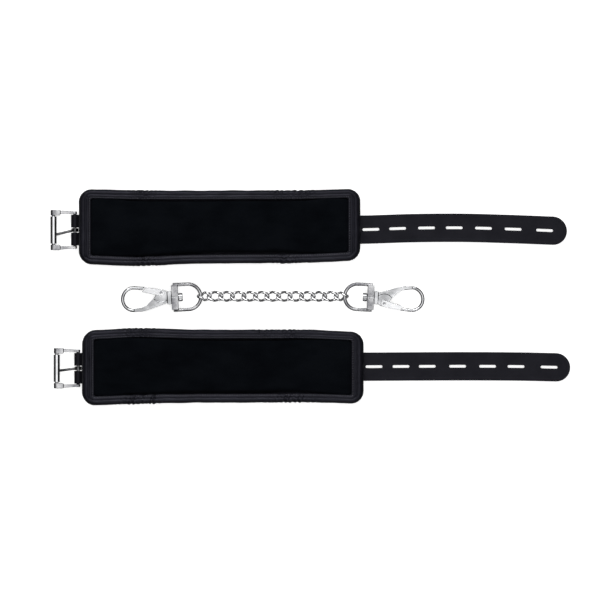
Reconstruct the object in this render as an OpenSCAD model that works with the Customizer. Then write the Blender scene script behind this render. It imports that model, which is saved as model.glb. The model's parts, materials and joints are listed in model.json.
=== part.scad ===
// A pair of padded wrist cuffs, laid open with the lining up, and a curb chain with two snap hooks.
// X runs along the straps, from the buckles to the strap tips. Z = 0 is the floor they lie on.

/* [Layout] */
// Distance from the middle of the set to each cuff's centre line
cuff_spacing = 50; // [45:1:70]
// Half of the shift along X between the two cuffs
cuff_stagger = 1.15; // [0:0.05:2]
// Half of a cuff's whole length, from its roller to its strap tip
half_length = 184.3; // [183.5:0.1:190]

/* [Pad] */
// Length of the padded part
pad_length = 200.8; // [190:0.2:201]
// Width of the padded part
pad_width = 54; // [48:1:60]
// Corner radius of the pad
pad_corner = 8.4; // [7:0.2:12]
// Width of the edge binding on each face
binding_width = 5.6; // [4:0.2:8]
// Thickness of the binding at the rim
binding_wall = 1.4; // [1:0.1:2]
// Thickness of the outer shell and of the binding's two lips
shell_thick = 1.2; // [0.8:0.1:1.6]
// Thickness of the foam
foam_thick = 5; // [3:0.5:8]
// Thickness of the plush lining
lining_thick = 1.8; // [1:0.1:3]

/* [Strap] */
// Width of the strap
strap_width = 20.3; // [18:0.1:21]
// Thickness of the strap
strap_thick = 2; // [1.6:0.1:2]
// Length of one tongue slot
slot_length = 12; // [8:0.5:13]
// Width of one tongue slot
slot_width = 2; // [2:0.1:3]
// Number of slots
slot_count = 7; // [3:1:7]
// Length of the riveted fold behind the buckle bar
fold_length = 26; // [20:1:34]

/* [Buckle] */
// Outside diameter of the roller
roller_d = 4.5; // [4:0.1:4.5]
// Length of the roller
roller_length = 19.4; // [18:0.1:20]
// Radius of the heel bar
bar_r = 1.2; // [1:0.05:1.2]
// Clear width between the frame's arms
frame_inner = 22.8; // [22.8:0.1:26]
// Width of one arm at the heel bar
arm_width = 1.9; // [1.6:0.1:2.4]
// Radius of the tongue's wire
tongue_r = 0.9; // [0.7:0.05:0.9]

/* [D-ring] */
// Clear width of the D-ring
dring_inner = 22; // [20:1:26]
// Radius of the D-ring's wire
dring_r = 1.5; // [1.2:0.1:1.5]

/* [Chain] */
// Distance between the crossings of neighbouring standard links
link_pitch = 8.227; // [8:0.01:9]
// Outside width of a standard link
link_width = 7.9; // [7.6:0.1:9]
// Wire diameter of a standard link
link_wire = 1.8; // [1.5:0.1:1.8]
// Twist of a standard link's two ends, each way
link_twist = 36; // [34:1:42]
// Number of links, with the small one at each end
link_count = 13; // [5:2:13]
// Pitch of the small end links
end_link_pitch = 7.3; // [7:0.1:8]

/* [Snap hooks] */
// Outside radius of the hook's loop
hook_loop_r = 9.3; // [9:0.1:9.6]
// Wire radius of the hook's loop
hook_wire_r = 1.2; // [1:0.05:1.3]
// Outside width of the swivel eye
eye_width = 20.6; // [20:0.2:22]
// Wire radius of the swivel eye
eye_wire_r = 1.25; // [1:0.05:1.3]
// Radius of the swivel post
post_r = 2; // [1.8:0.05:2.1]
// Tilt of each hook out of the chain's line
hook_tilt = 2.5; // [0:0.5:4]

/* [Hidden] */
SIDES = ["upper", "lower"];
ENDS = ["left", "right"];
CUFF_PARTS = ["outer_shell", "foam_core", "plush_lining", "edge_binding", "strap", "strap_loops",
    "strap_tail", "buckle_frame", "buckle_roller", "buckle_tongue", "d_ring", "ring_tab", "rivets"];
HOOK_PARTS = ["eye", "hook_body", "gate", "gate_pin", "gate_spring"];
function link_name(i) = str("chain_link_", i < 10 ? "0" : "", i);
$fn = 48;
slip = 0.05;   // running clearance on a radius
gap = 0.3;     // clearance between parts that pass each other

LEATHER = "#2a2a2f";
PLUSH = "#101114";
FOAM = "#4a4a4a";
CHROME = "#d5d7da";
CAST = "#9a9a9a";

// pad and strap heights: the pad arches over the D-ring, and its ends lie near the floor
pad_left = -half_length + 20.4;
pad_right = pad_left + pad_length;
pad_mid = (pad_left + pad_right) / 2;
bar_x = pad_left - 2.9;
bar_z = 3;
left_base = bar_z + strap_thick;
right_base = strap_thick + 0.1;
mid_base = strap_thick + 4.6;
arch_rise = mid_base - (left_base + right_base) / 2;
arch_chord = sqrt(pow(pad_length, 2) + pow(left_base - right_base, 2));
arch_r = (pow(arch_chord / 2, 2) + pow(arch_rise, 2)) / (2 * arch_rise);
arch_lean = atan2(left_base - right_base, pad_length);
arch_x = pad_mid - (arch_r - arch_rise) * sin(arch_lean);
arch_z = (left_base + right_base) / 2 - (arch_r - arch_rise) * cos(arch_lean);
pad_thick = 2 * shell_thick + foam_thick + lining_thick;
tail_x = pad_right + 1;
tail_z = strap_thick / 2;
// the slots are not quite evenly spaced
slot_steps = [0, 18.2, 37.9, 58.7, 79.9, 100.5, 123.6];
fold_r = bar_r + slip + 1.6;
tongue_eye_r = bar_r + slip + 1.3;
fold_width = 22;
fold_end = pad_left + fold_length;

// buckle: its plane tilts up from the bar, because the roller lies on the tongue
roller_x = -half_length + roller_d / 2;
roller_z = 2 * tongue_r + roller_d / 2 + 0.08;
frame_reach = bar_x - roller_x;
frame_lean = atan2(roller_z - bar_z, frame_reach);
frame_span = sqrt(pow(frame_reach, 2) + pow(roller_z - bar_z, 2));
tongue_lean = atan2(bar_z - tongue_r - 0.03, frame_reach);
tongue_length = frame_span + 1.2;

// D-ring: its bar is held under the strap at the pad's middle, and its bow rests on the floor
ring_slip = 0.12;
tab_thick = 1.2;
dring_z = dring_r + tab_thick + ring_slip;
dring_straight = 5;
dring_reach = dring_straight + dring_inner / 2 + dring_r;
dring_lean = asin((dring_z - dring_r - 0.02) / dring_reach);
tab_width = 12;
tab_half = 15;
tab_rivet = 10.4;
tab_gap = 0.08;

// chain and hooks lie on one axis above the floor
axis_y = 0.5;
axis_z = 3.5;
eye_length = 22.2;
collar_thick = 4.8;
end_link_wire = 1.7;
end_link_width = 7.2;
end_link_twist = 70;
chain_run = (link_count - 2) * link_pitch + 2 * end_link_pitch;
chain_x = -26.85;
eye_touch = chain_run / 2;
link_rings = 24;
link_sides = 8;
link_play = 0.3;

// one cuff's parts, moved to its place
module at_cuff(side) {
    sign = side == "upper" ? 1 : -1;
    translate([-sign * cuff_stagger, sign * cuff_spacing, 0]) children();
}

// the strap and buckle run a little off the pad's centre line
module at_strap(side) {
    at_cuff(side) translate([0, side == "upper" ? -2.2 : -0.8, 0]) children();
}

// on the arched surface, a height above the pad's base, with Z along the surface's normal
module on_arch(x, height) {
    translate([arch_x, 0, arch_z]) rotate([0, asin((x - arch_x) / arch_r), 0])
        translate([0, 0, arch_r + height]) children();
}

module rounded_plan(length, width, corner) {
    square([length - 2 * corner, width], center = true);
    square([length, width - 2 * corner], center = true);
    for (x = [-1, 1], y = [-1, 1])
        translate([x * (length / 2 - corner), y * (width / 2 - corner)]) circle(corner);
}

// the pad's plan, drawn in from its edge
module pad_prism(inset) {
    translate([pad_mid, 0, -5]) linear_extrude(40)
        rounded_plan(pad_length - 2 * inset, pad_width - 2 * inset, pad_corner - inset);
}

// a layer of the arch: its side view, extruded across the pad
module arch_profile(height, thick, x0, x1) {
    intersection() {
        translate([arch_x, arch_z]) difference() {
            circle(arch_r + height + thick, $fn = 1440);
            circle(arch_r + height, $fn = 1440);
        }
        translate([x0, -5]) square([x1 - x0, 40]);
    }
}

module arch_layer(height, thick, x0, x1, width) {
    rotate([90, 0, 0]) linear_extrude(width, center = true) arch_profile(height, thick, x0, x1);
}

module pad_layer(height, thick, inset) {
    intersection() {
        pad_prism(inset);
        arch_layer(height, thick, pad_left - 1, pad_right + 1, pad_width + 2);
    }
}

// where each rivet's shank stands: the tab's two and the fold's two
module at_tab_rivets() {
    for (x = [-1, 1]) on_arch(pad_mid + x * tab_rivet, 0) children();
}

module at_fold_rivets() {
    for (y = [-1, 1]) on_arch(fold_end - 6, 0) translate([0, y * 5.5, 0]) children();
}

rivet_r = 1.25;
module shank_holes(side) {
    at_strap(side) {
        at_tab_rivets() translate([0, 0, -8]) cylinder(r = rivet_r, h = 8 + shell_thick + 1);
        at_fold_rivets() translate([0, 0, -8]) cylinder(r = rivet_r, h = 8 + shell_thick + 1);
    }
}

module outer_shell(side) {
    color(LEATHER) difference() {
        at_cuff(side) pad_layer(0, shell_thick, binding_width);
        shank_holes(side);
    }
}

module foam_core(side) {
    color(FOAM) difference() {
        at_cuff(side) pad_layer(shell_thick + slip, foam_thick - slip, binding_wall + slip);
        at_strap(side) {
            at_tab_rivets() cylinder(r = 3, h = shell_thick + 0.85);
            at_fold_rivets() cylinder(r = 3, h = shell_thick + 0.85);
        }
    }
}

module plush_lining(side) {
    color(PLUSH) at_cuff(side)
        pad_layer(shell_thick + foam_thick, lining_thick - slip, binding_wall + slip);
}

module edge_binding(side) {
    color(LEATHER) at_cuff(side) difference() {
        pad_layer(0, pad_thick, 0);
        pad_layer(shell_thick, foam_thick + lining_thick, binding_wall);
        pad_prism(binding_width);
    }
}

// the strap under the pad: the main ply, and the folded end riveted below it
module strap(side) {
    color(LEATHER) difference() {
        at_strap(side) rotate([90, 0, 0]) linear_extrude(strap_width, center = true) {
            arch_profile(-strap_thick, strap_thick, pad_left, tail_x - strap_thick / 2 - gap);
            arch_profile(-2 * strap_thick, strap_thick, pad_left, fold_end);
        }
        shank_holes(side);
    }
}

// the fold round the heel bar, slotted for the tongue into two loops
module strap_loops(side) {
    tongue_gap = 3.6;
    lap = 0.05;
    color(LEATHER) at_strap(side) difference() {
        union() {
            translate([bar_x, 0, bar_z]) rotate([90, 0, 0])
                cylinder(r = fold_r, h = fold_width, center = true);
            rotate([90, 0, 0]) linear_extrude(fold_width, center = true) polygon([
                [bar_x + 1.2, bar_z + 2.3], [pad_left, left_base - lap],
                [pad_left, left_base - 2 * strap_thick + lap], [bar_x + 1.2, bar_z - 2.3]]);
        }
        translate([bar_x, 0, bar_z]) rotate([90, 0, 0])
            cylinder(r = bar_r + slip, h = fold_width + 2, center = true);
        translate([bar_x - fold_r - 1, -tongue_gap / 2, -2]) cube([2 * fold_r + 2, tongue_gap, 12]);
    }
}

module strap_tail(side) {
    tip_x = half_length;
    first_slot = tail_x + strap_thick / 2 + gap + slot_length / 2;
    color(LEATHER) at_strap(side) {
        difference() {
            union() {
                translate([tail_x, -strap_width / 2, 0])
                    cube([tip_x - strap_width / 2 - tail_x, strap_width, strap_thick]);
                translate([tip_x - strap_width / 2, 0, 0]) cylinder(d = strap_width, h = strap_thick);
                translate([tail_x, 0, tail_z]) rotate([90, 0, 0])
                    cylinder(r = strap_thick / 2, h = strap_width, center = true);
            }
            for (i = [0:slot_count - 1]) translate([first_slot + slot_steps[i], 0, -1])
                linear_extrude(strap_thick + 2) {
                    square([slot_length - slot_width, slot_width], center = true);
                    for (x = [-1, 1]) translate([x * (slot_length - slot_width) / 2, 0])
                        circle(d = slot_width);
                }
        }
    }
}

// buckle parts are drawn with the bar on the Y axis and the roller at -frame_span
module at_bar(side) {
    at_strap(side) translate([bar_x, 0, bar_z]) children();
}

module across(r, length) {
    rotate([90, 0, 0]) cylinder(r = r, h = length, center = true);
}

// a heel bar and a roller bar between two arms, which widen into square lugs at the roller
module buckle_frame(side) {
    lug_length = 6.8;
    lug_width = 3.9;
    lug_height = 4.2;
    arm_height = 3;
    lug_y = roller_length / 2 + 0.75;
    arm_y = frame_inner / 2;
    arm_foot = lug_y + lug_width - arm_y;
    color(CAST) at_bar(side) rotate([0, frame_lean, 0]) {
        across(bar_r, frame_inner + arm_width);
        translate([-frame_span, 0, 0]) across(1.2, 2 * lug_y + 1);
        for (y = [-1, 1]) {
            linear_extrude(arm_height, center = true) polygon([
                [0, y * arm_y], [0, y * (arm_y + arm_width)],
                [-frame_span, y * (arm_y + arm_foot)], [-frame_span, y * arm_y]]);
            translate([0, y * (arm_y + arm_width / 2), 0]) across(arm_height / 2, arm_width);
            translate([-frame_span, y * (lug_y + lug_width / 2), 0]) {
                across(lug_height / 2, lug_width);
                translate([0, -lug_width / 2, -lug_height / 2])
                    cube([lug_length - lug_height / 2, lug_width, lug_height]);
            }
        }
    }
}

module buckle_roller(side) {
    color(CHROME) at_bar(side) rotate([0, frame_lean, 0]) translate([-frame_span, 0, 0]) difference() {
        across(roller_d / 2, roller_length);
        across(1.2 + slip, roller_length + 2);
    }
}

// the tongues lie a little askew
module buckle_tongue(side) {
    skew = side == "upper" ? 13 : 7;
    color(CHROME) at_bar(side) rotate([0, -tongue_lean, 0]) difference() {
        union() {
            across(tongue_eye_r, 2.6);
            rotate([0, 0, skew]) {
                rotate([0, -90, 0]) cylinder(r = tongue_r, h = tongue_length);
                translate([-tongue_length, 0, 0]) sphere(tongue_r);
            }
        }
        across(bar_r + slip, 4);
    }
}

module d_ring(side) {
    half = dring_inner / 2 + dring_r;
    color(CHROME) at_strap(side) translate([pad_mid, 0, dring_z]) rotate([0, dring_lean, 0]) {
        across(dring_r, 2 * half);
        for (y = [-1, 1]) translate([0, y * half, 0]) {
            sphere(dring_r);
            rotate([0, 90, 0]) cylinder(r = dring_r, h = dring_straight);
        }
        translate([dring_straight, 0, 0]) rotate([0, 0, -90])
            rotate_extrude(angle = 180) translate([half, 0]) circle(dring_r);
    }
}

// leather tab: two flat wings riveted under the strap and a U round the D-ring's bar
module ring_tab(side) {
    hole_r = dring_r + ring_slip;
    hump_r = hole_r + tab_thick;
    tab_top = strap_thick + tab_gap;
    top_z = mid_base - tab_top - 0.01;
    color(LEATHER) difference() {
        at_strap(side) rotate([90, 0, 0]) linear_extrude(tab_width, center = true) difference() {
            union() {
                arch_profile(-tab_top - tab_thick, tab_thick, pad_mid - tab_half, pad_mid + tab_half);
                translate([pad_mid, dring_z]) difference() {
                    circle(hump_r);
                    translate([-hump_r - 1, 0]) square([2 * hump_r + 2, hump_r + 1]);
                }
                translate([pad_mid - hump_r, dring_z]) square([2 * hump_r, top_z - dring_z]);
            }
            translate([pad_mid, dring_z]) circle(hole_r);
            translate([pad_mid - hole_r, dring_z]) square([2 * hole_r, mid_base]);
        }
        shank_holes(side);
    }
}

module rivet(grip) {
    translate([0, 0, -grip]) cylinder(r = rivet_r, h = grip + shell_thick);
    translate([0, 0, -grip - 0.9]) cylinder(r = 3.2, h = 0.9);
    translate([0, 0, shell_thick]) cylinder(r = 3, h = 0.8);
}

module rivets(side) {
    tab_top = strap_thick + tab_gap;
    color(CHROME) at_strap(side) {
        at_tab_rivets() rivet(tab_top + tab_thick);
        at_fold_rivets() rivet(2 * strap_thick);
    }
}

// a point at share t of the way round a flat oval, and the outward angle there
function on_arc(x, r, angle) = [[x + r * cos(angle), r * sin(angle)], angle];
function oval(t, a, r) = let (u = t * (4 * a + 2 * PI * r), q = PI * r)
    u < 2 * a ? [[a - u, r], 90] :
    u < 2 * a + q ? on_arc(-a, r, 90 + (u - 2 * a) / r * 180 / PI) :
    u < 4 * a + q ? [[u - 3 * a - q, -r], 270] :
    on_arc(a, r, 270 + (u - 4 * a - q) / r * 180 / PI);
// each round end stays flat at its own twist, and the straight wires turn from one to the other
function twisted(p, a, from, to) =
    let (w = from + (to - from) * min(1, max(0, (p[0] + a) / (2 * a))))
    [p[0], p[1] * cos(w) - p[2] * sin(w), p[1] * sin(w) + p[2] * cos(w)];

module link_loop(pitch, width, wire, from, to) {
    r = (width - wire) / 2;
    a = (pitch + link_play + wire) / 2 - r;
    w = wire / 2;
    points = [for (i = [0:link_rings - 1], j = [0:link_sides - 1])
        let (c = oval(i / link_rings, a, r), s = (j + 0.5) * 360 / link_sides)
        let (out = c[0] + w * cos(s) * [cos(c[1]), sin(c[1])])
        twisted([out[0], out[1], w * sin(s)], a, from, to)];
    faces = [for (i = [0:link_rings - 1], j = [0:link_sides - 1])
        let (i2 = (i + 1) % link_rings, j2 = (j + 1) % link_sides)
        let (a1 = i * link_sides + j, b1 = i * link_sides + j2)
        let (b2 = i2 * link_sides + j2, a2 = i2 * link_sides + j)
        each [[a1, b1, b2], [a1, b2, a2]]];
    polyhedron(points, faces, convexity = 4);
}

function link_x(i) =
    let (first = -chain_run / 2 + end_link_pitch / 2, step = (end_link_pitch + link_pitch) / 2)
    i == 1 ? first : i == link_count ? -first : first + step + (i - 2) * link_pitch;

module chain_link(i) {
    small = i == 1 || i == link_count;
    from = i == 1 ? -end_link_twist : -link_twist;
    to = i == link_count ? end_link_twist : link_twist;
    color(CHROME) translate([chain_x + link_x(i), axis_y, axis_z])
        link_loop(small ? end_link_pitch : link_pitch, small ? end_link_width : link_width,
            small ? end_link_wire : link_wire, from, to);
}

// hook parts are drawn with the swivel axis on X, the collar's outer face at 0 and the loop towards +X.
// The left hook is turned half round, so its loop points to -X, and its gate is on the other side.
module at_hook(end) {
    turn = end == "left" ? 180 + hook_tilt : -hook_tilt;
    side = end == "left" ? -1 : 1;
    translate([chain_x + side * eye_touch, axis_y, axis_z]) rotate([0, 0, turn])
        translate([eye_length - 2 * eye_wire_r, 0, 0]) children();
}

module eye(end) {
    r = eye_width / 2 - eye_wire_r;
    bow_x = -eye_length + eye_wire_r + r;
    color(CAST) at_hook(end) difference() {
        union() {
            translate([-collar_thick, -r + 0.2, -2.1]) cube([collar_thick, 2 * r - 0.4, 4.2]);
            translate([bow_x, 0, 0]) rotate([0, 0, 90])
                rotate_extrude(angle = 180) translate([r, 0]) circle(eye_wire_r);
            for (y = [-1, 1]) translate([bow_x, y * r, 0]) rotate([0, 90, 0])
                cylinder(r = eye_wire_r, h = -bow_x - 1.2);
        }
        translate([-collar_thick - 1, 0, 0]) rotate([0, 90, 0])
            cylinder(r = post_r + slip, h = collar_thick + 2);
    }
}

pivot = [7.35, -3.85];
loop_x = 26.8;
palm_thick = 3.2;
web_thick = 1.3;
pin_r = 0.8;
nose_cut = [[18.6, -8.6], [21.8, -4.6]];

module palm_plan() {
    polygon([[2.9, 3.6], [14, 7.2], [20.6, 9.1], [loop_x, 9.3], [loop_x, 6.9], [22.1, 6.7], [17.6, 4.6],
        [13, 0.5], [9.9, -4.4], [5.4, -6], [2.9, -4.4]]);
    translate(pivot) circle(2.3);
}

// the loop's wire, from the spine round the tip to the nose, in one plane
module hook_loop() {
    r = hook_loop_r - hook_wire_r;
    translate([loop_x, 0, 0]) rotate([0, 0, -90]) rotate_extrude(angle = 180)
        translate([r, 0]) circle(hook_wire_r);
    translate([loop_x, r, 0]) rotate([0, 0, 187]) rotate([0, 90, 0]) cylinder(r = hook_wire_r, h = 9);
    translate([loop_x, -r, 0]) rotate([0, 0, 173]) rotate([0, 90, 0]) cylinder(r = hook_wire_r, h = 9.5);
}

module hook_body(end) {
    color(CHROME) at_hook(end) difference() {
        union() {
            difference() {
                linear_extrude(palm_thick, center = true) palm_plan();
                for (z = [-1, 1]) translate([pivot[0], pivot[1], z * (web_thick / 2 + 2) - 2])
                    cylinder(r = 6.8, h = 4);
            }
            linear_extrude(web_thick, center = true) palm_plan();
            hook_loop();
            translate([0.15, -4.7, -2.6]) cube([2.8, 9.4, 5.2]);
            translate([-collar_thick - 0.5, 0, 0]) rotate([0, 90, 0])
                cylinder(r = post_r, h = collar_thick + 1.5);
            translate([-collar_thick - 3.15, 0, 0]) rotate([0, 90, 0]) cylinder(r = 2.9, h = 3);
        }
        // the nose's slanted end, which the gate closes against
        translate([0, 0, -3]) linear_extrude(6) polygon([nose_cut[0] + [-1.2, -1], nose_cut[0],
            nose_cut[1], nose_cut[1] + [-6, 0]]);
        translate([pivot[0], pivot[1], 0]) cylinder(r = pin_r, h = 8, center = true);
    }
}

module gate_plan() {
    polygon([pivot + [-0.6, -2.35], [18.1, -8.2], [21.1, -4.75], [19.4, -4.6], pivot + [0.4, 2.3]]);
    translate(pivot) circle(2.35);
}

module gate(end) {
    cheek = (palm_thick - web_thick) / 2 - 0.1;
    color(CHROME) at_hook(end) difference() {
        union() {
            for (z = [-1, 1]) translate([0, 0, z * (web_thick / 2 + 0.1 + cheek / 2)])
                linear_extrude(cheek, center = true) gate_plan();
            intersection() {
                linear_extrude(palm_thick - 0.4, center = true) gate_plan();
                translate([16.5, -12, -3]) cube([8, 12, 6]);
            }
            intersection() {
                linear_extrude(palm_thick - 0.4, center = true) gate_plan();
                translate([11, -12, -3]) cube([8, 5.4, 6]);
            }
        }
        translate([pivot[0], pivot[1], 0]) cylinder(r = pin_r + slip, h = 8, center = true);
    }
}

module gate_pin(end) {
    color(CAST) at_hook(end) translate([pivot[0], pivot[1], 0])
        cylinder(r = pin_r, h = palm_thick, center = true);
}

// bent leaf inside the gate's channel, pressing on the palm
module gate_spring(end) {
    color(CAST) at_hook(end) linear_extrude(web_thick - 0.3, center = true)
        polygon([[16.4, -5.2], [12.6, -6], [10.6, -5.4], [10.6, -5], [12.6, -5.6], [16.4, -4.8]]);
}

for (side = SIDES) {
    outer_shell(side);
    foam_core(side);
    plush_lining(side);
    edge_binding(side);
    strap(side);
    strap_loops(side);
    strap_tail(side);
    buckle_frame(side);
    buckle_roller(side);
    buckle_tongue(side);
    d_ring(side);
    ring_tab(side);
    rivets(side);
}
for (i = [1:link_count]) chain_link(i);
for (end = ENDS) {
    eye(end);
    hook_body(end);
    gate(end);
    gate_pin(end);
    gate_spring(end);
}
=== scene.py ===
# %% [markdown]
# # Padded wrist cuffs with a chain
# The set lies open and flat: two padded cuffs with the plush side up, and a curb chain with two snap hooks.
# The CAD model already fixes every size and joint. This notebook loads it as a frame and makes the looks:
# inflated plush pads, a rolled leather edge, a punched strap, bright nickel hardware and soft studio light.

# %% Load the frame
import json
import math

import bmesh
import bpy
import numpy as np
from mathutils import Matrix, Vector, noise


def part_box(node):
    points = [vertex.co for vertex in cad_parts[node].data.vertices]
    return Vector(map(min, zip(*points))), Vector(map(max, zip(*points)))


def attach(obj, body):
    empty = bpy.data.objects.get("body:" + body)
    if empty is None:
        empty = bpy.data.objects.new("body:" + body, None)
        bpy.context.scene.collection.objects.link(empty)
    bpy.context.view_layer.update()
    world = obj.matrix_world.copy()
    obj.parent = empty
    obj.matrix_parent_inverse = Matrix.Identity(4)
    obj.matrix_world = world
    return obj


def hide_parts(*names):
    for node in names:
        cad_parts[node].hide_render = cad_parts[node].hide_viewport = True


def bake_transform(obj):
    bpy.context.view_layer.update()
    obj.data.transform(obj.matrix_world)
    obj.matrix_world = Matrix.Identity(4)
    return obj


MM = 0.001
SIDES = ("upper", "lower")
ENDS = ("left", "right")
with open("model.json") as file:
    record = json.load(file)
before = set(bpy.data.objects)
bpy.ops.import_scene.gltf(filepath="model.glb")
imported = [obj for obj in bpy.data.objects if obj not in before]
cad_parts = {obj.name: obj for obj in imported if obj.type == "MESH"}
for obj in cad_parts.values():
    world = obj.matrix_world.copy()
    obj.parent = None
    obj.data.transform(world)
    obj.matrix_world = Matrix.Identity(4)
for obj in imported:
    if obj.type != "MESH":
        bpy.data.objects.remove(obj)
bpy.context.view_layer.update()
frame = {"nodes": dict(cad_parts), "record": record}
nodes = frame["nodes"]

# %% [markdown]
# ## Camera and studio
# The set is seen from straight above with a long lens, so heights hardly change the outline.
# Bright metal only looks like metal when it has something to reflect. So the sky has a soft white ceiling and
# dark sides, and wires show a white centre line between dark edges. The floor is a white light table: it
# glows a little, so shadows are almost gone, and metal reflects the dark room below it and not its glare.

# %% Camera
VIEW_WIDTH = 428.4 * MM
VIEW_CENTRE = Vector((-7.4 * MM, -2.1 * MM, 0))
CAMERA_HEIGHT = 4.0


def add_camera():
    data = bpy.data.cameras.new("camera")
    data.sensor_width = 36
    data.lens = data.sensor_width * CAMERA_HEIGHT / VIEW_WIDTH
    data.clip_end = 20
    cam = bpy.data.objects.new("camera", data)
    cam.location = VIEW_CENTRE + Vector((0, 0, CAMERA_HEIGHT))
    bpy.context.scene.collection.objects.link(cam)
    bpy.context.scene.camera = cam
    print("lens in mm:", round(data.lens, 1))


add_camera()

# %% Floor and sky


def add_floor():
    mesh = bpy.data.meshes.new("floor")
    s = 3
    mesh.from_pydata([(-s, -s, 0), (s, -s, 0), (s, s, 0), (-s, s, 0)], [], [(0, 1, 2, 3)])
    floor = bpy.data.objects.new("floor", mesh)
    floor.location.z = -0.0001
    bpy.context.scene.collection.objects.link(floor)
    mat = bpy.data.materials.new("floor_white")
    mat.use_nodes = True
    shader = mat.node_tree.nodes["Principled BSDF"]
    shader.inputs["Base Color"].default_value = (0.9, 0.9, 0.9, 1)
    shader.inputs["Roughness"].default_value = 0.9
    shader.inputs["Emission Color"].default_value = (1, 1, 1, 1)
    shader.inputs["Emission Strength"].default_value = 0.7
    mesh.materials.append(mat)
    floor.visible_glossy = False


def add_sky():
    world = bpy.data.worlds.new("studio")
    world.use_nodes = True
    bpy.context.scene.world = world
    n, link = world.node_tree.nodes, world.node_tree.links
    coord = n.new("ShaderNodeTexCoord")
    split = n.new("ShaderNodeSeparateXYZ")
    link.new(coord.outputs["Generated"], split.inputs[0])
    ramp = n.new("ShaderNodeValToRGB")
    stops = ((0.0, 0.16), (0.25, 0.22), (0.38, 0.02), (0.78, 0.015), (0.88, 0.10), (0.945, 1.1), (1.0, 1.4))
    remap = n.new("ShaderNodeMath")
    remap.operation = "MULTIPLY_ADD"
    remap.inputs[1].default_value = 0.5
    remap.inputs[2].default_value = 0.5
    link.new(split.outputs["Z"], remap.inputs[0])
    link.new(remap.outputs[0], ramp.inputs[0])
    while len(ramp.color_ramp.elements) < len(stops):
        ramp.color_ramp.elements.new(0.5)
    for element, (place, value) in zip(ramp.color_ramp.elements, stops):
        element.position = place
        element.color = (value, value, value, 1)
    patches = n.new("ShaderNodeTexNoise")
    patches.inputs["Scale"].default_value = 2.6
    patches.inputs["Detail"].default_value = 1
    link.new(coord.outputs["Generated"], patches.inputs["Vector"])
    contrast = n.new("ShaderNodeMapRange")
    contrast.inputs["From Min"].default_value = 0.40
    contrast.inputs["From Max"].default_value = 0.56
    contrast.inputs["To Min"].default_value = 0.5
    contrast.inputs["To Max"].default_value = 1.2
    link.new(patches.outputs[0], contrast.inputs["Value"])
    mix = n.new("ShaderNodeVectorMath")
    mix.operation = "SCALE"
    link.new(ramp.outputs[0], mix.inputs[0])
    link.new(contrast.outputs[0], mix.inputs["Scale"])
    link.new(mix.outputs[0], n["Background"].inputs["Color"])
    n["Background"].inputs["Strength"].default_value = 1.15


def add_softbox(name, place, size, power):
    data = bpy.data.lights.new(name, "AREA")
    data.shape = "RECTANGLE"
    data.size, data.size_y = size
    data.energy = power
    lamp = bpy.data.objects.new(name, data)
    lamp.location = place
    lamp.rotation_euler = (-Vector(place)).to_track_quat("-Z", "Y").to_euler()
    bpy.context.scene.collection.objects.link(lamp)


add_floor()
add_sky()
add_softbox("softbox_back", (-0.2, 1.3, 0.9), (1.6, 0.35), 16)
add_softbox("softbox_front", (0.3, -1.3, 0.8), (1.4, 0.15), 4)
bpy.context.scene.view_settings.view_transform = "Standard"
print("studio is lit")

# %% [markdown]
# ## Finishes
# Leather is a dark coated skin: fine pebble grain, a broad soft sheen, and slightly lighter rubbed places.
# Plush is a deep black pile that only glows at grazing angles, so it gets sheen and a fine nap.
# The hardware is nickel plated. Wire parts are bright, and cast parts are a little duller with shallow pits.
# The castings, hook bodies and tongue also carry painted dark reflection in their base colour.

# %% Material helpers


def new_material(name):
    mat = bpy.data.materials.new(name)
    mat.use_nodes = True
    return mat, mat.node_tree.nodes, mat.node_tree.links, mat.node_tree.nodes["Principled BSDF"]


def object_noise(n, link, scale, detail=3, stretch=(1, 1, 1), roughness=0.55):
    coord = n.new("ShaderNodeTexCoord")
    mapping = n.new("ShaderNodeMapping")
    mapping.inputs["Scale"].default_value = stretch
    link.new(coord.outputs["Object"], mapping.inputs["Vector"])
    tex = n.new("ShaderNodeTexNoise")
    tex.inputs["Scale"].default_value = scale
    tex.inputs["Detail"].default_value = detail
    tex.inputs["Roughness"].default_value = roughness
    link.new(mapping.outputs[0], tex.inputs["Vector"])
    return tex.outputs[0]


def object_cells(n, link, scale):
    coord = n.new("ShaderNodeTexCoord")
    tex = n.new("ShaderNodeTexVoronoi")
    tex.inputs["Scale"].default_value = scale
    link.new(coord.outputs["Object"], tex.inputs["Vector"])
    return tex.outputs["Distance"]


def ramp_between(n, link, value, low, high, first=0.35, last=0.65):
    ramp = n.new("ShaderNodeValToRGB")
    ramp.color_ramp.elements[0].position = first
    ramp.color_ramp.elements[1].position = last
    ramp.color_ramp.elements[0].color = (*low, 1)
    ramp.color_ramp.elements[1].color = (*high, 1)
    link.new(value, ramp.inputs[0])
    return ramp.outputs[0]


def ranged(n, link, value, low, high, first=0.3, last=0.7):
    node = n.new("ShaderNodeMapRange")
    node.inputs["From Min"].default_value = first
    node.inputs["From Max"].default_value = last
    node.inputs["To Min"].default_value = low
    node.inputs["To Max"].default_value = high
    link.new(value, node.inputs["Value"])
    return node.outputs[0]


def add_bump(n, link, shader, heights):
    """Chains bump nodes: heights is a list of (socket, strength, distance in metres)."""
    below = None
    for height, strength, distance in heights:
        bump = n.new("ShaderNodeBump")
        bump.inputs["Strength"].default_value = strength
        bump.inputs["Distance"].default_value = distance
        link.new(height, bump.inputs["Height"])
        if below:
            link.new(below, bump.inputs["Normal"])
        below = bump.outputs[0]
    link.new(below, shader.inputs["Normal"])


# %% Leather


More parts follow.
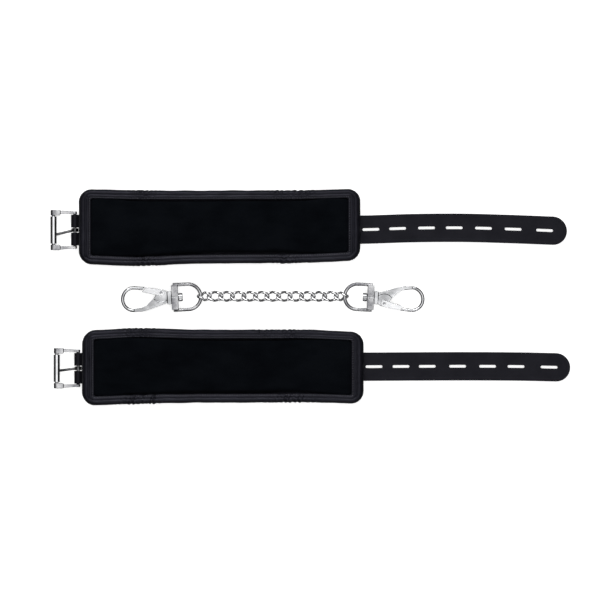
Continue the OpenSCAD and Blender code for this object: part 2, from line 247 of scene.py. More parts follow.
def make_leather(name, dark, light, rough, gloss, grain, grain_depth, wrinkle_depth):
    mat, n, link, shader = new_material(name)
    tone = object_noise(n, link, 60, 4)
    link.new(ramp_between(n, link, tone, dark, light), shader.inputs["Base Color"])
    link.new(ranged(n, link, object_noise(n, link, 130, 3), *rough), shader.inputs["Roughness"])
    shader.inputs["Specular IOR Level"].default_value = gloss
    shader.inputs["Specular Tint"].default_value = (0.80, 0.80, 1.0, 1)
    wrinkles = object_noise(n, link, 240, 4, (1, 1, 1), 0.6)
    add_bump(n, link, shader, [
        (wrinkles, 0.5, wrinkle_depth), (object_cells(n, link, grain), 0.6, grain_depth)])
    return mat


strap_leather = make_leather(
    "strap_leather", (0.0048, 0.0047, 0.0062), (0.0080, 0.0078, 0.0100), (0.40, 0.52), 0.16,
    2100, 0.00004, 0.00010)
edge_leather = make_leather(
    "edge_leather", (0.0030, 0.0031, 0.0048), (0.0072, 0.0072, 0.0104), (0.34, 0.50), 0.24,
    1700, 0.00007, 0.00025)
print("leathers:", strap_leather.name, edge_leather.name)

# %% Plush, foam and thread


def make_plush():
    mat, n, link, shader = new_material("black_plush")
    nap = object_noise(n, link, 900, 4, (1, 1.6, 1), 0.7)
    lie = object_noise(n, link, 38, 3, (1, 1.8, 1))
    link.new(ramp_between(n, link, lie, (0.0016, 0.0022, 0.0033), (0.0034, 0.0043, 0.0060), 0.32, 0.66),
             shader.inputs["Base Color"])
    shader.inputs["Roughness"].default_value = 0.95
    shader.inputs["Specular IOR Level"].default_value = 0.03
    shader.inputs["Sheen Weight"].default_value = 0.012
    shader.inputs["Sheen Roughness"].default_value = 0.45
    shader.inputs["Sheen Tint"].default_value = (0.55, 0.62, 0.8, 1)
    add_bump(n, link, shader, [(lie, 0.4, 0.0006), (nap, 0.8, 0.00035)])
    return mat


def make_foam():
    mat, n, link, shader = new_material("foam_grey")
    cells = object_cells(n, link, 1400)
    link.new(ramp_between(n, link, cells, (0.03, 0.03, 0.03), (0.09, 0.09, 0.09), 0.1, 0.6),
             shader.inputs["Base Color"])
    shader.inputs["Roughness"].default_value = 0.95
    add_bump(n, link, shader, [(cells, 0.8, 0.0003)])
    return mat


def make_thread():
    mat, n, link, shader = new_material("black_thread")
    twist = object_noise(n, link, 2600, 2, (1, 1, 3))
    link.new(ramp_between(n, link, twist, (0.035, 0.035, 0.042), (0.085, 0.085, 0.098)),
             shader.inputs["Base Color"])
    shader.inputs["Roughness"].default_value = 0.6
    add_bump(n, link, shader, [(twist, 0.7, 0.0001)])
    return mat


plush, foam, thread = make_plush(), make_foam(), make_thread()
print("soft finishes:", plush.name, foam.name, thread.name)

# %% Nickel


def make_nickel(name, dark, light, rough, pit_scale, pit_depth):
    mat, n, link, shader = new_material(name)
    shader.inputs["Metallic"].default_value = 1
    haze = object_noise(n, link, 140, 4)
    link.new(ramp_between(n, link, haze, dark, light), shader.inputs["Base Color"])
    link.new(ranged(n, link, object_noise(n, link, 420, 3), *rough), shader.inputs["Roughness"])
    add_bump(n, link, shader, [
        (object_noise(n, link, 320, 2), 0.35, 0.00005),
        (object_noise(n, link, pit_scale, 4), 0.5, pit_depth)])
    return mat


# The castings, the hook bodies and above all the tongue have base colours darker than plated nickel really
# is. This is painted dark reflection of a dark room, so that their contours hold against the white table.
# They should be lightened for use under other light.
WIRE_PITS = (1500, 0.00001)
CAST_PITS = (1300, 0.00008)
nickel = make_nickel("bright_nickel", (0.66, 0.665, 0.68), (0.82, 0.825, 0.84), (0.07, 0.15), *WIRE_PITS)
link_nickel = make_nickel("link_nickel", (0.74, 0.74, 0.75), (0.90, 0.90, 0.91), (0.20, 0.32), *WIRE_PITS)
cast_nickel = make_nickel("cast_nickel", (0.20, 0.20, 0.215), (0.56, 0.56, 0.57), (0.20, 0.38), *CAST_PITS)
tongue_nickel = make_nickel(
    "tongue_nickel", (0.02, 0.02, 0.022), (0.16, 0.16, 0.165), (0.10, 0.20), *WIRE_PITS)
hook_nickel = make_nickel("hook_nickel", (0.36, 0.365, 0.375), (0.68, 0.685, 0.70), (0.10, 0.20), *WIRE_PITS)
print("metals:", [metal.name for metal in (nickel, link_nickel, cast_nickel, tongue_nickel, hook_nickel)])

# %% [markdown]
# ## Small tools
# Each new piece is one mesh in the frame's own metres. It gets its material, rides on its body, and stands
# for the CAD nodes that it replaces. Geometry Nodes trees are built in code and baked to plain meshes.

# %% Piece helpers


def finish_piece(obj, mat, body, slot_name, *cad_nodes):
    """Gives a piece its finish and its body (None leaves it on no body), and hides the CAD nodes that it
    replaces.
    """
    if mat.name not in [m.name for m in obj.data.materials if m]:
        obj.data.materials.clear()
        obj.data.materials.append(mat)
    for poly in obj.data.polygons:
        poly.use_smooth = True
    if body:
        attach(obj, body)
    if cad_nodes:
        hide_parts(*cad_nodes)
    return obj


def object_from(name, verts, faces):
    mesh = bpy.data.meshes.new(name)
    mesh.from_pydata([tuple(v) for v in verts], [], faces)
    mesh.update()
    obj = bpy.data.objects.new(name, mesh)
    bpy.context.scene.collection.objects.link(obj)
    return obj


def bake(obj):
    """Applies every modifier: the evaluated mesh replaces the object's own."""
    depsgraph = bpy.context.evaluated_depsgraph_get()
    mesh = bpy.data.meshes.new_from_object(obj.evaluated_get(depsgraph), depsgraph=depsgraph)
    if obj.type == "CURVE":
        name, old = obj.name, obj
        obj = bpy.data.objects.new(name + "_mesh", mesh)
        bpy.context.scene.collection.objects.link(obj)
        bpy.data.objects.remove(old)
        obj.name = name
        return obj
    obj.modifiers.clear()
    obj.data = mesh
    return obj


def tube_grid(rings, sides, closed=True):
    """Faces of a tube whose vertices are stored ring after ring."""
    last = rings if closed else rings - 1
    return [(i * sides + j, i * sides + (j + 1) % sides, (i + 1) % rings * sides + (j + 1) % sides,
             (i + 1) % rings * sides + j) for i in range(last) for j in range(sides)]


def outward(obj):
    work = bmesh.new()
    work.from_mesh(obj.data)
    bmesh.ops.remove_doubles(work, verts=work.verts, dist=1e-6)
    bmesh.ops.recalc_face_normals(work, faces=work.faces)
    work.to_mesh(obj.data)
    work.free()
    return obj


# %% Geometry Nodes helpers


class Tree:
    """A Geometry Nodes tree with named inputs, built one node at a time."""

    def __init__(self, name, inputs):
        self.tree = bpy.data.node_groups.new(name, "GeometryNodeTree")
        side = self.tree.interface
        side.new_socket("Geometry", in_out="INPUT", socket_type="NodeSocketGeometry")
        for key, value in inputs.items():
            socket = side.new_socket(key, in_out="INPUT", socket_type="NodeSocketFloat")
            socket.default_value = value
        side.new_socket("Geometry", in_out="OUTPUT", socket_type="NodeSocketGeometry")
        self.source = self.tree.nodes.new("NodeGroupInput")
        self.result = self.tree.nodes.new("NodeGroupOutput")

    def add(self, kind, settings=None, **inputs):
        node = self.tree.nodes.new(kind)
        for key, value in (settings or {}).items():
            setattr(node, key, value)
        for key, value in inputs.items():
            self.feed(node, key.replace("_", " "), value)
        return node

    def feed(self, node, key, value):
        if hasattr(value, "is_output"):
            self.tree.links.new(value, node.inputs[key])
        else:
            node.inputs[key].default_value = value

    def maths(self, operation, a, b=None, c=None):
        node = self.tree.nodes.new("ShaderNodeMath")
        node.operation = operation
        for i, value in enumerate((a, b, c)):
            if value is not None:
                self.feed(node, i, value)
        return node.outputs[0]

    def end(self, geometry, mat):
        joined = self.add("GeometryNodeRealizeInstances", Geometry=geometry)
        dressed = self.add("GeometryNodeSetMaterial", Geometry=joined.outputs[0])
        dressed.inputs["Material"].default_value = mat
        self.tree.links.new(dressed.outputs[0], self.result.inputs[0])

    def run(self, obj, **values):
        modifier = obj.modifiers.new(self.tree.name, "NODES")
        modifier.node_group = self.tree
        names = {s.name: s.identifier for s in self.tree.interface.items_tree if s.in_out == "INPUT"}
        for key, value in values.items():
            modifier[names[key.replace("_", " ")]] = float(value)
        return bake(obj)


print("tools ready")

# %% [markdown]
# ## The lie of each pad
# A soft pad is never a perfect rectangle. Its sides draw in where the edge binding is gathered, and one end
# swings a little. So each pad has a few chosen widths and centre offsets along its length, joined smoothly.
# Its base follows the CAD arch: raised at the middle by the ring under it, and at the buckle end by the fold.

# %% Pad shape
PAD_WIDTHS = (53.6, 54.2, 52.4, 52.2, 52.0, 51.4)
PAD_SWAY = {"upper": (0.2, -0.9, -0.3, 0.0, 0.2, 1.6), "lower": (-0.6, 0.9, 0.8, 0.8, 0.9, -0.5)}
PAD_BASE = (5.0, 6.6, 2.1)
CORNER, INNER_CORNER, CORNER_SHARE = 9.4, 1.6, 1.5
END_SHARE, SIDE_SHARE = 1.45, 1.08
LONG_STEPS, SHORT_STEPS, CORNER_STEPS = 96, 22, 10


def smooth_row(values, s):
    """A smooth curve through evenly spaced values, with s from 0 to 1."""
    s = min(max(s, 0), 1) * (len(values) - 1)
    i = min(int(s), len(values) - 2)
    t = s - i
    a, b = values[max(i - 1, 0)], values[i]
    c, d = values[i + 1], values[min(i + 2, len(values) - 1)]
    square, cube = 2 * a - 5 * b + 4 * c - d, 3 * b - a - 3 * c + d
    return 0.5 * (2 * b + (c - a) * t + square * t * t + cube * t ** 3)


class Pad:
    """One cuff's pad in millimetres: where its edge runs, and how high its base is."""

    def __init__(self, side):
        low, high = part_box(side + "_edge_binding")
        self.side = side
        self.left, self.right = low.x / MM, high.x / MM
        self.mid_x = (self.left + self.right) / 2
        self.mid_y = (low.y + high.y) / 2 / MM
        self.length = self.right - self.left

    def share(self, x):
        return (x - self.left) / self.length

    def base(self, x):
        a, b, c = PAD_BASE
        s = min(max(self.share(x), 0), 1)
        return a * (1 - s) * (1 - 2 * s) + 4 * b * s * (1 - s) + c * s * (2 * s - 1)

    def bend(self, x, y):
        """A point of the plain rectangle, moved to the pad's real lie."""
        s = self.share(x)
        scale = smooth_row(PAD_WIDTHS, s) / PAD_WIDTHS[0]
        return x, self.mid_y + y * scale + smooth_row(PAD_SWAY[self.side], s)

    def rim(self, inset=0.0, fine=2):
        """Points round the edge, drawn in by inset: (x, y, outward direction, distance round).
        Every inset gives the same number of points, side by side, so that rings can be joined."""
        half_x = self.length / 2 - inset * END_SHARE
        half_y = PAD_WIDTHS[0] / 2 - inset * SIDE_SHARE
        r = max(CORNER - inset * CORNER_SHARE, INNER_CORNER)
        points, round_so_far = [], 0.0
        for turn in range(4):
            out = Vector((math.sin(turn * math.pi / 2), -math.cos(turn * math.pi / 2)))
            on = Vector((-out.y, out.x))
            along, away = (half_x, half_y) if turn % 2 == 0 else (half_y, half_x)
            steps = (LONG_STEPS if turn % 2 == 0 else SHORT_STEPS) * fine
            for k in range(steps):
                place = on * ((k / steps * 2 - 1) * (along - r)) + out * away
                points.append((place, out, round_so_far + k / steps * 2 * (along - r)))
            round_so_far += 2 * (along - r)
            for k in range(CORNER_STEPS * fine):
                turned = k / (CORNER_STEPS * fine) * math.pi / 2
                around = out * math.cos(turned) + on * math.sin(turned)
                place = on * (along - r) + out * (away - r) + around * r
                points.append((place, around, round_so_far + turned * r))
            round_so_far += r * math.pi / 2
        return [(*self.bend(self.mid_x + place.x, place.y), out, far) for place, out, far in points]


pads = {side: Pad(side) for side in SIDES}
print("pads in mm:", [(p.side, round(p.length, 1), round(p.mid_y, 1)) for p in pads.values()])

# %% [markdown]
# ## Plush pads
# The pad is foam under black plush, drawn tight by the binding, so it swells a little between its edges.
# It starts as a thin closed slab. Cloth with gentle air pressure inflates it, a cap keeps it within the
# binding, and one subdivision makes it smooth.

# %% Inflate the pads
PAD_INSET = 4.7
PAD_RISE = 1.9


def slab(pad):
    """A closed slab a little smaller than the pad's own room."""
    rings = [(0.0, 1.6), (0.0, 4.4), (1.2, 7.3), (8.0, 7.6)]
    verts = []
    for inset, height in rings:
        for x, y, _, _ in pad.rim(PAD_INSET + inset, 1):
            verts.append((x * MM, y * MM, (pad.base(x) + height) * MM))
    count = len(verts) // len(rings)
    faces = tube_grid(len(rings), count, closed=False)
    faces += [tuple(reversed(range(count))), tuple(range(3 * count, 4 * count))]
    return outward(object_from(pad.side + "_pad", verts, faces))


def inflate(obj):
    remesh = obj.modifiers.new("remesh", "REMESH")
    remesh.mode = "VOXEL"
    remesh.voxel_size = 2.6 * MM
    bake(obj)
    start = np.array([v.co[:] for v in obj.data.vertices])
    cloth = obj.modifiers.new("cloth", "CLOTH")
    cloth.settings.quality = 5
    cloth.settings.use_pressure = True
    cloth.settings.uniform_pressure_force = 4
    cloth.settings.effector_weights.gravity = 0
    for number in range(1, 21):
        bpy.context.scene.frame_set(number)
    bake(obj)
    bpy.context.scene.frame_set(1)
    return start


def cap_swelling(obj, start, limit):
    for v, before in zip(obj.data.vertices, start):
        move = v.co - Vector(before)
        if move.length > limit:
            v.co = Vector(before) + move * (limit / move.length)


def settle(obj, pad):
    """Keeps the pad inside its binding and crowns it gently, with small soft dents in the pile."""
    for v in obj.data.vertices:
        x, y = v.co.x / MM, v.co.y / MM
        base = pad.base(x)
        height = v.co.z / MM - base
        _, mid = pad.bend(x, 0)
        across = min(abs(y - mid) / (PAD_WIDTHS[0] / 2 - PAD_INSET), 1)
        along = min(abs(x - pad.mid_x) / (pad.length / 2 - PAD_INSET), 1)
        crown = (1 - across ** 4) * (1 - along ** 14)
        dent = noise.noise(Vector((x * 0.045, y * 0.06, 3.0 if pad.side == "upper" else 9.0)))
        if height > 4.5:
            v.co.z = (base + min(height, 7.6) + PAD_RISE * crown + 0.35 * dent * crown) * MM
        else:
            v.co.z = (base + max(height, 1.25)) * MM


for side in SIDES:
    pad = pads[side]
    cushion = slab(pad)
    began = inflate(cushion)
    cap_swelling(cushion, began, 2.2 * MM)
    settle(cushion, pad)
    cushion.modifiers.new("smooth", "CORRECTIVE_SMOOTH").iterations = 6
    rounder = cushion.modifiers.new("rounder", "SUBSURF")
    rounder.levels = rounder.render_levels = 1
    bake(cushion)
    finish_piece(cushion, plush, side + "_cuff", "plush", side + "_plush_lining", side + "_foam_core")
    print(cushion.name, "faces:", len(cushion.data.polygons))

# %% [markdown]
# ## Rolled edge
# The binding is a strip of leather rolled over the pad's edge. From outside in it is a fat roll, a crease
# where it is sewn, and a thin raised lip against the plush. One section is swept round the rim in code. Where
# the strip is gathered it puckers, so the section swells and pinches there, with sharp short folds.

# %% Sweep the binding
ROLL = (
    (-5.8, 1.3), (-5.3, 0.2), (-3.9, 0.0), (-2.2, 0.35), (-0.9, 1.4), (-0.15, 3.2), (0.0, 4.9), (-0.2, 6.5),
    (-0.75, 7.9), (-1.5, 8.75), (-2.4, 9.0), (-3.0, 8.65), (-3.35, 8.2), (-3.75, 8.55), (-4.4, 8.8),
    (-4.95, 8.5), (-5.3, 8.1), (-5.65, 8.4), (-6.0, 8.3), (-6.2, 7.2), (-6.15, 4.4))
STITCH_LINE = (5.3, 8.2)
GATHERS = {
    ("upper", 1): ((0.234, 0.040), (0.700, 0.030), (0.790, 0.045)),
    ("upper", -1): ((0.240, 0.050), (0.737, 0.055)),
    ("lower", 1): ((0.205, 0.055), (0.650, 0.030), (0.745, 0.040)),
    ("lower", -1): ((0.180, 0.035), (0.250, 0.035), (0.740, 0.070))}
PLEAT = 3.2


def gathering(pad, x, out):
    """How strongly the strip is puckered here: most at the gathers on the long sides, some in the corners."""
    s = pad.share(x)
    gathers = GATHERS[pad.side, 1 if out.y > 0 else -1]
    near = sum(math.exp(-((s - at) / spread) ** 2) for at, spread in gathers)
    corner = 1 - max(abs(out.x), abs(out.y)) ** 6
    return 0.06 + 0.94 * min(near, 1) * abs(out.y) ** 4 + 0.25 * corner


def pleat(distance, seed):
    """Uneven round lumps with sharp narrow folds between them: from -1 in a fold to 0.4 on a lump."""
    wander = noise.noise(Vector((distance * 0.11, seed, 3.0)))
    lump = abs(math.sin(math.pi * (distance / PLEAT + 0.9 * wander)))
    size = 0.6 + 0.8 * noise.noise(Vector((distance * 0.21, seed, 8.0)))
    return size * (0.4 * lump - (1 - lump) ** 3)


def sweep_binding(pad):
    seed = 4.0 if pad.side == "upper" else 11.0
    rings = []
    for n, z in ROLL:
        on_top = max(z - 3.5, 0) / 5.5
        inner = min(max(-n - 3.6, 0) / 2.2, 1)
        reach = 1 - 0.65 * inner
        ring = []
        for x, y, out, distance in pad.rim(-n, 3):
            tight = gathering(pad, x, out)
            folds = pleat(distance + 0.5 * n, seed)
            soft = noise.noise(Vector((distance * 0.09, seed, 2.0)))
            ripple = noise.noise(Vector((distance * 0.4, seed, n * 0.25)))
            lift = (1.30 * folds * tight + 0.10 * soft + (0.14 + 0.40 * tight) * ripple) * on_top
            push = (1.00 * folds * tight + 0.25 * soft) * reach + 0.45 * ripple * tight
            ring.append(((x + out.x * push) * MM, (y + out.y * push) * MM, (pad.base(x) + z + lift) * MM))
        rings.append(ring)
    count = len(rings[0])
    verts = [rings[j][i] for i in range(count) for j in range(len(ROLL))]
    obj = outward(object_from(pad.side + "_binding", verts, tube_grid(count, len(ROLL))))
    finer = obj.modifiers.new("finer", "SUBSURF")
    finer.levels = finer.render_levels = 1
    return bake(obj)


for side in SIDES:
    binding = sweep_binding(pads[side])
    finish_piece(binding, edge_leather, side + "_cuff", "binding", side + "_edge_binding")
    print(binding.name, "faces:", len(binding.data.polygons))

# %% [markdown]
# ## Edge stitching
# A lockstitch runs in the crease of the binding. The real machine sews at an even pitch, so Geometry Nodes
# does the same: a path in the crease is resampled at the stitch pitch, and a small thread bead is set on
# every point, turned along the path.

# %% Stitches
stitching = Tree("stitching", {"Pitch": 0.0021, "Length": 0.0016, "Thread": 0.00045})
marks = stitching.add("GeometryNodeResampleCurve", {"mode": "LENGTH"},
                      Curve=stitching.source.outputs["Geometry"], Length=stitching.source.outputs["Pitch"])
tangent = stitching.add("GeometryNodeInputTangent")
aim = stitching.add("FunctionNodeAlignEulerToVector", {"axis": "X"}, Vector=tangent.outputs[0])
bead = stitching.add("GeometryNodeMeshUVSphere", Segments=8, Rings=6, Radius=0.5)
bead_size = stitching.add("ShaderNodeCombineXYZ", X=stitching.source.outputs["Length"],
                          Y=stitching.source.outputs["Thread"], Z=stitching.source.outputs["Thread"])
shaped = stitching.add("GeometryNodeTransform", Geometry=bead.outputs[0], Scale=bead_size.outputs[0])
placed = stitching.add("GeometryNodeInstanceOnPoints", Points=marks.outputs[0], Instance=shaped.outputs[0],
                       Rotation=aim.outputs[0])
stitching.end(placed.outputs[0], thread)


def path_curve(name, points, closed=False):
    data = bpy.data.curves.new(name, "CURVE")
    data.dimensions = "3D"
    spline = data.splines.new("POLY")
    spline.points.add(len(points) - 1)
    for target, point in zip(spline.points, points):
        target.co = (*point, 1)
    spline.use_cyclic_u = closed
    obj = bpy.data.objects.new(name, data)
    bpy.context.scene.collection.objects.link(obj)
    return obj


def crease_path(pad):
    inset, height = STITCH_LINE
    return [(x * MM, y * MM, (pad.base(x) + height) * MM) for x, y, _, _ in pad.rim(inset)]


for side in SIDES:
    seam = path_curve(side + "_edge_stitches", crease_path(pads[side]), closed=True)
    seam = stitching.run(seam, Pitch=1.75 * MM, Length=1.2 * MM, Thread=0.5 * MM)
    finish_piece(seam, thread, side + "_cuff", "binding")
    print(seam.name, "faces:", len(seam.data.polygons))

# %% [markdown]
# ## Outer side
# The outside of each cuff is a plain leather panel. It is only seen when the cuff is turned over, but a part
# is looked at from every side, so it gets a softly padded surface with its edge tucked under the binding.

# %% Outer panels


def outer_panel(pad, across=26, along=96):
    verts = []
    for i in range(along + 1):
        for j in range(across + 1):
            u, v = i / along * 2 - 1, j / across * 2 - 1
            x, y = pad.bend(pad.mid_x + u * (pad.length / 2 - 4.6), v * (PAD_WIDTHS[0] / 2 - 4.6))
            puff = (1 - abs(u) ** 18) * (1 - abs(v) ** 6)
            clear = min(max((abs(v) * 22.2 - 11.5) / 6, 0), 1)
            lump = noise.noise(Vector((x * 0.08, y * 0.08, 5)))
            drop = puff * clear * (0.9 + 0.25 * lump)
            verts.append((x * MM, y * MM, (pad.base(x) + 0.55 - 0.45 * puff - drop) * MM))
    row = across + 1
    faces = [(i * row + j, (i + 1) * row + j, (i + 1) * row + j + 1, i * row + j + 1)
             for i in range(along) for j in range(across)]
    obj = object_from(pad.side + "_outer_panel", verts, [tuple(reversed(f)) for f in faces])
    wall = obj.modifiers.new("wall", "SOLIDIFY")
    wall.thickness = 0.9 * MM
    wall.offset = -1
    return outward(bake(obj))


for side in SIDES:
    panel = outer_panel(pads[side])
    finish_piece(panel, edge_leather, side + "_cuff", "leather", side + "_outer_shell")
    print(panel.name, "faces:", len(panel.data.polygons))

# %% [markdown]
# ## Punched straps
# The strap is cut from coated leather with a punch: a round tip, and a row of long slots for the tongue. Its
# outline and slots are drawn as flat curves, which fill, thicken and round their own edges. The result is cut
# across at close steps so that it can bend, then laid along its slightly bowed line.

# %% Straps
STRAP_BOW = {"upper": (0.3, 1.4, 1.6, 0.6, -0.7), "lower": (1.1, 1.3, 1.4, 1.2, 0.5)}
SLOT = (12.0, 1.9)
SLOT_AT = {
    "upper": (43.2, 62.3, 82.9, 102.7, 123.6, 144.7, 167.2),
    "lower": (45.4, 64.7, 83.4, 105.1, 126.5, 146.8, 170.4)}
TUCK = 16.0
CREASE = 2.1
EDGE_ROUND = 0.3
BORDER_THICK = 2.0
PANEL_THICK = 1.9


def stadium(x, y, length, width, steps=10):
    """A slot's outline: two half circles joined by straight sides."""
    r = width / 2
    points = []
    for turn, end in ((-90, length / 2 - r), (90, -length / 2 + r)):
        for k in range(steps + 1):
            a = math.radians(turn + 180 * k / steps)
            points.append((x + end + r * math.cos(a), y + r * math.sin(a)))
    return points


def strap_outline(start, tip, width, inset):
    """The strap's outline with its round tip, drawn in by inset."""
    r = width / 2 - inset
    centre = tip - width / 2
    arc = [math.radians(-90 + 180 * k / 40) for k in range(41)]
    tip_arc = [(centre + r * math.cos(a), r * math.sin(a)) for a in arc]
    return [(start + inset, -r)] + tip_arc + [(start + inset, r)]


def flat_curve(name, outlines, thick):
    """Fills the outlines and thickens them. The bevel adds EDGE_ROUND all round."""
    data = bpy.data.curves.new(name, "CURVE")
    data.dimensions = "2D"
    data.fill_mode = "BOTH"
    data.extrude = (thick / 2 - EDGE_ROUND) * MM
    data.bevel_depth = EDGE_ROUND * MM
    data.bevel_resolution = 2
    for outline in outlines:
        spline = data.splines.new("POLY")
        spline.points.add(len(outline) - 1)
        for target, (x, y) in zip(spline.points, outline):
            target.co = (x * MM, y * MM, 0, 1)
        spline.use_cyclic_u = True
    obj = bpy.data.objects.new(name, data)
    bpy.context.scene.collection.objects.link(obj)
    return bake(obj)


def cut_across(obj, positions):
    work = bmesh.new()
    work.from_mesh(obj.data)
    bmesh.ops.remove_doubles(work, verts=work.verts, dist=0.002 * MM)
    for x in positions:
        parts = work.verts[:] + work.edges[:] + work.faces[:]
        bmesh.ops.bisect_plane(work, geom=parts, plane_co=(x * MM, 0, 0), plane_no=(1, 0, 0), dist=1e-7)
    bmesh.ops.recalc_face_normals(work, faces=work.faces)
    work.to_mesh(obj.data)
    work.free()


def make_strap(side):
    pad = pads[side]
    low, high = (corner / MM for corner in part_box(side + "_strap_tail"))
    width, mid_y, hinge = high.y - low.y, (low.y + high.y) / 2, low.x + 1
    start = pad.right - TUCK
    slots = [stadium(x, 0, SLOT[0] + 2 * EDGE_ROUND, SLOT[1] + 2 * EDGE_ROUND) for x in SLOT_AT[side]]
    edge = strap_outline(start, high.x, width, EDGE_ROUND)
    crease = strap_outline(start, high.x, width, CREASE + EDGE_ROUND)
    border = flat_curve(side + "_strap_border", [edge, crease], BORDER_THICK)
    strap = flat_curve(side + "_strap_leather", [crease, *slots], PANEL_THICK)
    work = bmesh.new()
    work.from_mesh(strap.data)
    work.from_mesh(border.data)
    work.to_mesh(strap.data)
    work.free()
    bpy.data.objects.remove(border)
    close = [start + 1.5 * k for k in range(1, 16)] + [hinge + 3 + 3.5 * k for k in range(1, 41)]
    cut_across(strap, [x for x in close if x < high.x - 1])
    for v in strap.data.vertices:
        x = v.co.x / MM
        bow = smooth_row(STRAP_BOW[side], (x - hinge) / (high.x - hinge))
        fade = min(max((x - start) / TUCK, 0), 1)
        v.co.y += (mid_y + bow * fade) * MM
        under = pad.base(min(x, pad.right)) - 1.0
        v.co.z += (under + (1.03 - under) * min(max((x - pad.right + 3) / 4, 0), 1)) * MM
    finish_piece(strap, strap_leather, None, "leather", side + "_strap_tail")
    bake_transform(strap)
    print(strap.name, "faces:", len(strap.data.polygons), "length in mm:", round(high.x - start, 1))


for side in SIDES:
    make_strap(side)

# %% [markdown]
# ## Curb chain
# Each link is an oval of wire whose two ends are twisted opposite ways, so that the chain lies flat. A
# Geometry Nodes tree follows that rule: a circle is pulled apart into an oval, resampled, turned about its
# length by an amount that changes only along the straight wires, and swept with the wire's round section.

# %% Link tree
link_rule = Tree("curb_link", {"Reach": 0.003, "Bend": 0.003, "Wire": 0.0018, "From": -0.63, "To": 0.63})
inputs = link_rule.source.outputs
ring = link_rule.add("GeometryNodeCurvePrimitiveCircle", Resolution=128)
link_rule.feed(ring, "Radius", inputs["Bend"])
place = link_rule.add("GeometryNodeInputPosition").outputs[0]
parts = link_rule.add("ShaderNodeSeparateXYZ", Vector=place).outputs
pulled = link_rule.maths("MULTIPLY_ADD", link_rule.maths("SIGN", parts["X"]), inputs["Reach"], parts["X"])
opened = link_rule.add("ShaderNodeCombineXYZ", X=pulled, Y=parts["Y"], Z=0.0)
oval = link_rule.add("GeometryNodeSetPosition", Geometry=ring.outputs[0], Position=opened.outputs[0])
even = link_rule.add("GeometryNodeResampleCurve", Curve=oval.outputs[0], Count=110)
place = link_rule.add("GeometryNodeInputPosition").outputs[0]
along = link_rule.add("ShaderNodeSeparateXYZ", Vector=place).outputs["X"]
share = link_rule.add("ShaderNodeMapRange", {"interpolation_type": "SMOOTHSTEP"}, Value=along)
link_rule.feed(share, "From Min", link_rule.maths("MULTIPLY", inputs["Reach"], -1.15))
link_rule.feed(share, "From Max", link_rule.maths("MULTIPLY", inputs["Reach"], 1.15))
link_rule.feed(share, "To Min", inputs["From"])
link_rule.feed(share, "To Max", inputs["To"])
turned = link_rule.add("ShaderNodeVectorRotate", {"rotation_type": "X_AXIS"},
                       Vector=place, Angle=share.outputs[0])
twisted = link_rule.add("GeometryNodeSetPosition", Geometry=even.outputs[0], Position=turned.outputs[0])
section = link_rule.add("GeometryNodeCurvePrimitiveCircle", Resolution=16)
link_rule.feed(section, "Radius", link_rule.maths("MULTIPLY", inputs["Wire"], 0.5))
swept = link_rule.add("GeometryNodeCurveToMesh", Curve=twisted.outputs[0])
link_rule.feed(swept, 1, section.outputs[0])
link_rule.end(swept.outputs[0], link_nickel)

# %% Links
TWIST, END_TWIST = math.radians(36), math.radians(70)
LINK_SIZE = {"standard": (7.9, 1.8), "small": (7.2, 1.7)}
link_names = sorted(n for n in nodes if n.startswith("chain_link_"))


def make_link(name):
    low, high = (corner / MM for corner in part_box(name))
    first, last = name == link_names[0], name == link_names[-1]
    width, wire = LINK_SIZE["small" if first or last else "standard"]
    bend = (width - wire) / 2
    reach = (high.x - low.x) / 2 - width / 2
    blank = object_from(name.replace("chain_link", "link"), [(0, 0, 0)], [])
    made = link_rule.run(blank, Reach=reach * MM, Bend=bend * MM, Wire=wire * MM,
                         From=-END_TWIST if first else -TWIST, To=END_TWIST if last else TWIST)
    made.data.transform(Matrix.Translation((low + high) / 2 * MM))
    outward(made)
    return finish_piece(made, link_nickel, name.replace("chain_", ""), "nickel", name)


for name in link_names:
    make_link(name)
print("links:", len(link_names))

# %% [markdown]
# ## Cast hardware and cut leather
# Hook bodies, gates, swivel eyes and buckle frames are die castings. Their CAD shapes are right but sharp,
# and a casting has soft corners. So a merged copy of each CAD node is remeshed at a fine voxel and relaxed,
# which rounds its edges and fills its inside corners as a real fillet does. The folded strap, the ring's tab
# and the rivets are softened in the same way.

# %% Soften the CAD shapes


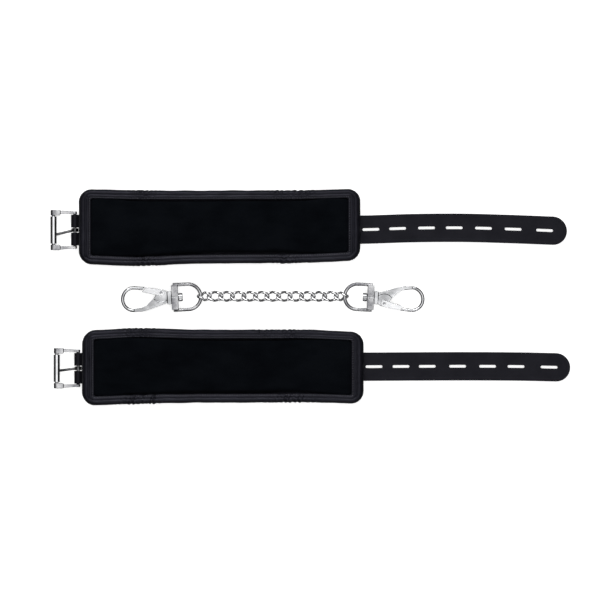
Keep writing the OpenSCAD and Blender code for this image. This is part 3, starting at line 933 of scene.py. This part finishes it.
def soften(node, name, mat, slot_name, voxel, passes):
    source = nodes[node]
    obj = bpy.data.objects.new(name, source.data.copy())
    bpy.context.scene.collection.objects.link(obj)
    obj.data.materials.clear()
    obj.data.materials.append(mat)
    work = bmesh.new()
    work.from_mesh(obj.data)
    bmesh.ops.remove_doubles(work, verts=work.verts, dist=0.001 * MM)
    work.to_mesh(obj.data)
    work.free()
    remesh = obj.modifiers.new("remesh", "REMESH")
    remesh.mode = "VOXEL"
    remesh.voxel_size = voxel * MM
    relax = obj.modifiers.new("relax", "SMOOTH")
    relax.factor = 0.5
    relax.iterations = passes
    bake(obj)
    body = next(b for b, members in frame["record"]["behaviour"]["bodies"].items() if node in members)
    finish_piece(obj, mat, body, slot_name, node)
    print(name, "faces:", len(obj.data.polygons))


COARSE = 1
# Hook bodies, swivel eyes and buckle frames take finishes whose base colour carries painted dark reflection.
for end in ENDS:
    soften(end + "_hook_body", end + "_hook_casting", hook_nickel, "nickel", 0.22 * COARSE, 6)
    soften(end + "_gate", end + "_gate_casting", nickel, "nickel", 0.16 * COARSE, 4)
    soften(end + "_eye", end + "_eye_casting", cast_nickel, "cast_nickel", 0.22 * COARSE, 5)
for side in SIDES:
    soften(side + "_buckle_frame", side + "_buckle_casting", cast_nickel, "cast_nickel", 0.2 * COARSE, 6)
    soften(side + "_strap_loops", side + "_bar_loops", strap_leather, "leather", 0.26 * COARSE, 8)
    soften(side + "_strap", side + "_strap_under_pad", strap_leather, "leather", 0.42 * COARSE, 3)
    soften(side + "_ring_tab", side + "_ring_tab_leather", strap_leather, "leather", 0.26 * COARSE, 4)
    soften(side + "_rivets", side + "_domed_rivets", nickel, "nickel", 0.16 * COARSE, 12)

# %% [markdown]
# ## The rest of the CAD pieces
# The rings, rollers, tongues, pins and springs already have the right shape, so they only get a finish.

# %% Finishes for CAD nodes


# Gate pins and springs take the cast finish and the tongue its own. Both carry painted dark reflection in
# their base colour.
CAD_FINISH = {
    "foam_core": foam, "plush_lining": plush, "edge_binding": edge_leather, "outer_shell": edge_leather,
    "strap": strap_leather, "strap_loops": strap_leather, "strap_tail": strap_leather,
    "ring_tab": strap_leather, "gate_pin": cast_nickel, "gate_spring": cast_nickel,
    "buckle_tongue": tongue_nickel}


def cad_material(name):
    return CAD_FINISH.get(name.split("_", 1)[1], nickel)


for name, obj in nodes.items():
    for place in obj.material_slots:
        place.material = cad_material(name)
print("CAD nodes dressed:", len(nodes))
